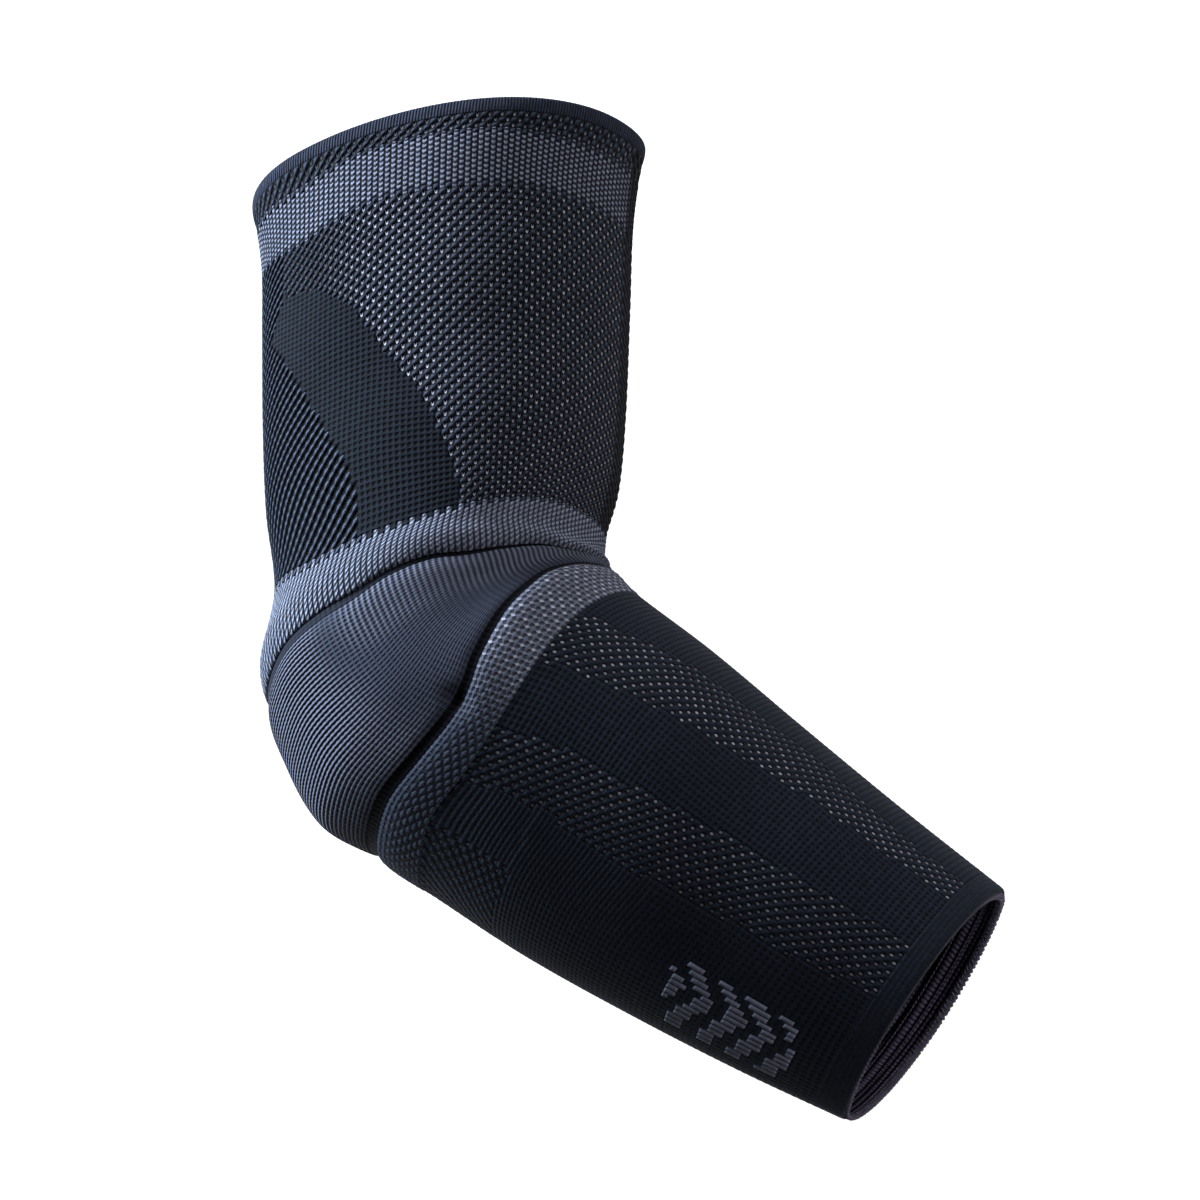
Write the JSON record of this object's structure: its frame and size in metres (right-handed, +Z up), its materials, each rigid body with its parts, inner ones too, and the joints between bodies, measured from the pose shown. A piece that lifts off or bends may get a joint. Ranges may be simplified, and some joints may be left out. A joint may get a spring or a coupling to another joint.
{
  "type": "knitted elbow sleeve",
  "caption": "Knitted compression elbow sleeve, bent as worn and lying on its side: grey elbow cap between two bands, ribbed and mesh upper arm zones, spotted forearm stripes.",
  "frame": {"origin": "middle of the footprint, on the surface that the sleeve lies on", "axes": "+Z up and along the elbow's turning axis, through the lateral side; +Y up the upper arm; the forearm part bends away towards +X"},
  "size_m": [0.1906, 0.272, 0.0782],
  "materials": {
    "dark_welt": "matte knit",
    "dark_mesh_knit": "matte knit",
    "dark_plain_knit": "matte knit",
    "dark_rib_knit": "matte knit",
    "grey_tension_knit": "matte knit",
    "grey_cap_knit": "matte knit",
    "dark_line_knit": "matte knit",
    "spotted_knit": "matte knit",
    "inner_hem": "matte knit",
    "overlock_thread": "matte knit",
    "inner_padding": "matte knit",
    "badge_print": "matte knit"
  },
  "bodies": {
    "upper_arm": {"upper_welt": "dark_welt", "upper_cuff_band": "dark_mesh_knit", "upper_tension_band": "grey_tension_knit", "upper_hem": "inner_hem", "posterior_rib_panel": "dark_rib_knit", "lateral_side_panel": "dark_plain_knit", "medial_side_panel": "dark_plain_knit", "anterior_mesh_panel": "dark_mesh_knit", "elbow_upper_band": "grey_tension_knit", "elbow_upper_line": "dark_line_knit", "elbow_cap": "grey_cap_knit", "elbow_cap_padding": "inner_padding"},
    "forearm": {"elbow_lower_line": "dark_line_knit", "elbow_lower_band": "grey_tension_knit", "forearm_front_panel": "dark_plain_knit", "lateral_stripe_a": "spotted_knit", "medial_stripe_a": "spotted_knit", "lateral_plain_panel": "dark_plain_knit", "medial_plain_panel": "dark_plain_knit", "lateral_stripe_b": "spotted_knit", "medial_stripe_b": "spotted_knit", "lateral_gusset": "dark_plain_knit", "medial_gusset": "dark_plain_knit", "elbow_point_patch": "spotted_knit", "forearm_back_panel": "dark_plain_knit", "forearm_welt": "dark_welt", "forearm_overlock": "overlock_thread", "forearm_hem": "inner_hem", "lateral_emblem": "badge_print"}
  },
  "joints": [
    {"name": "elbow_flex", "type": "hinge", "parent": "upper_arm", "child": "forearm", "pos_m": [-0.04229, -0.02446, 0.039], "axis": [0, 0, 1], "range_deg": [-50, 45], "stiffness_Nm_per_rad": 0.1, "deforming": ["posterior_rib_panel", "lateral_side_panel", "medial_side_panel", "anterior_mesh_panel", "elbow_upper_band", "elbow_upper_line", "elbow_cap", "elbow_cap_padding", "elbow_lower_line", "elbow_lower_band", "forearm_front_panel", "lateral_stripe_a", "medial_stripe_a", "lateral_plain_panel", "medial_plain_panel", "lateral_stripe_b", "medial_stripe_b", "lateral_gusset", "medial_gusset", "elbow_point_patch"]}
  ]
}
